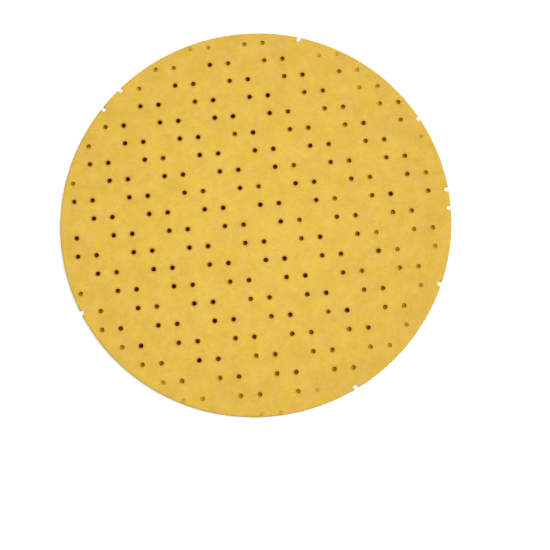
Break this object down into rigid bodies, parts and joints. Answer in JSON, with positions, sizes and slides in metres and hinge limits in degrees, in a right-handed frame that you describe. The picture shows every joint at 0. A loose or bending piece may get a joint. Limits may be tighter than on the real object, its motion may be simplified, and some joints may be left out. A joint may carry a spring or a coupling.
{
  "type": "hook and loop sanding disc",
  "caption": "Round abrasive paper disc on a loop fabric backing, punched all over with small dust holes.",
  "frame": {"origin": "middle of the loop face, which the disc lies on", "axes": "+Z out of the abrasive face; the rows of dust holes run along X"},
  "size_m": [0.225, 0.225, 0.002],
  "materials": {
    "abrasive_paper": "abrasive grain in a matt gold bond coat",
    "loop_fabric": "brushed off-white knit loops"
  },
  "bodies": {
    "root": {"abrasive_paper": "abrasive_paper", "loop_fabric": "loop_fabric"}
  },
  "joints": []
}
